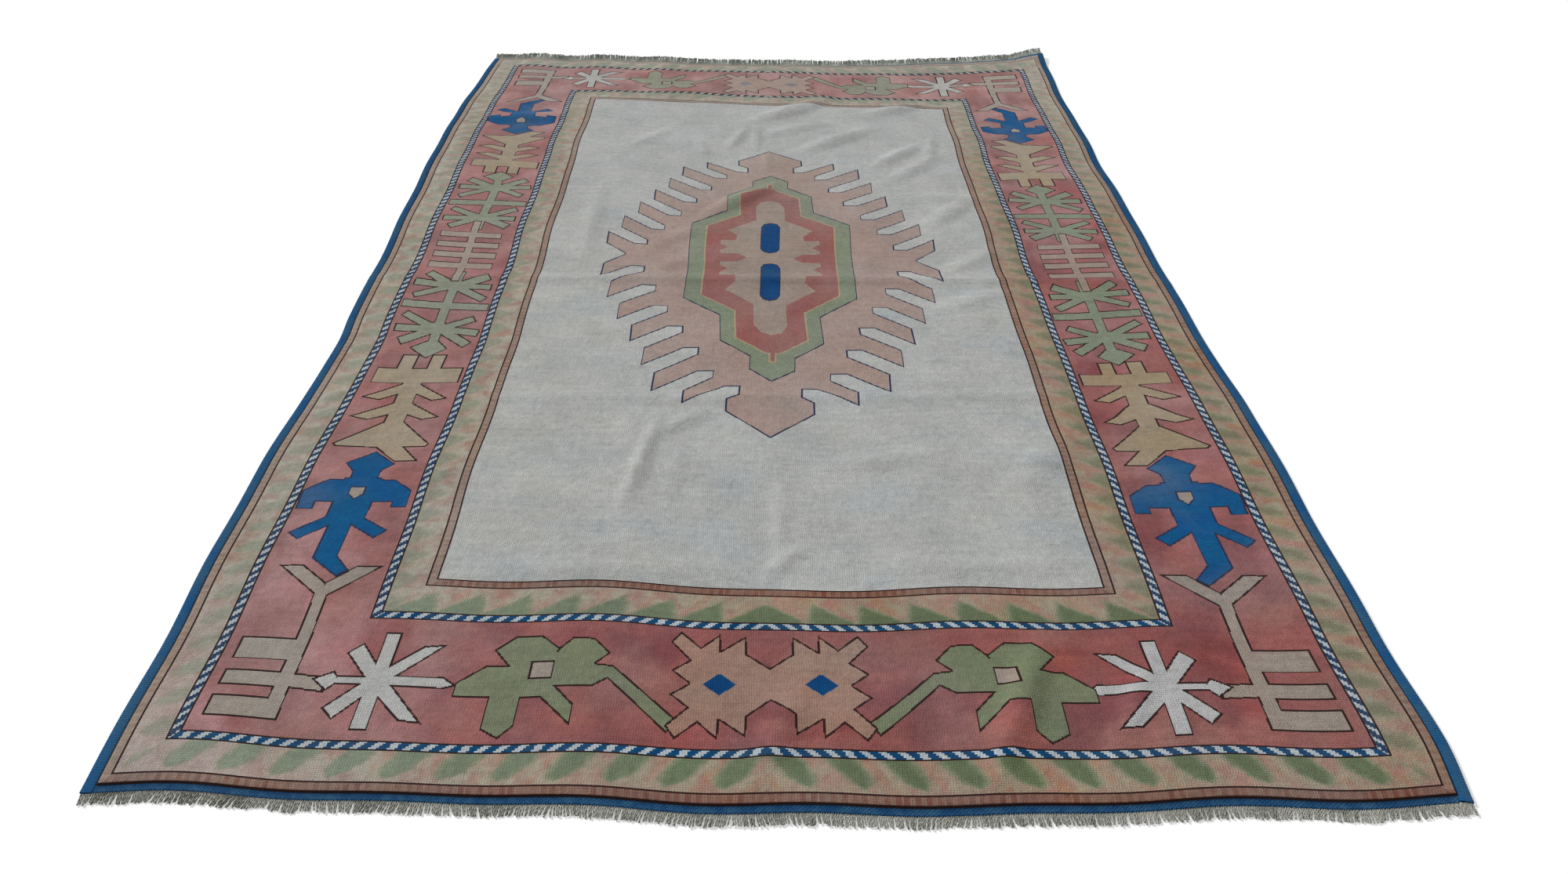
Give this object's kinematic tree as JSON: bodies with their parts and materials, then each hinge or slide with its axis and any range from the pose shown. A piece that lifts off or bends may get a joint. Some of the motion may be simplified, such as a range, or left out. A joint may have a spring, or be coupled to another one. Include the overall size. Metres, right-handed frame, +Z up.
{
  "type": "oushak rug",
  "caption": "Hand-knotted wool rug lying flat, with a fingered centre medallion, flower and bird borders, blue edges down the sides and ends, and a short warp fringe at each end.",
  "frame": {"origin": "on the floor, under the middle of the rug's box", "axes": "+X across the weave, +Y along the warps from the near end to the far end, +Z up out of the pile"},
  "size_m": [2.0444, 3.1088, 0.0278],
  "materials": {
    "pile_wool": "matt cut wool pile with knotted pattern",
    "blue_wool": "flat-woven wool, matt",
    "warp_yarn": "undyed twisted yarn, matt"
  },
  "bodies": {
    "root": {"rug_body": "pile_wool", "selvedge_left": "blue_wool", "selvedge_right": "blue_wool", "fringe_near": "warp_yarn", "fringe_far": "warp_yarn"}
  },
  "joints": []
}
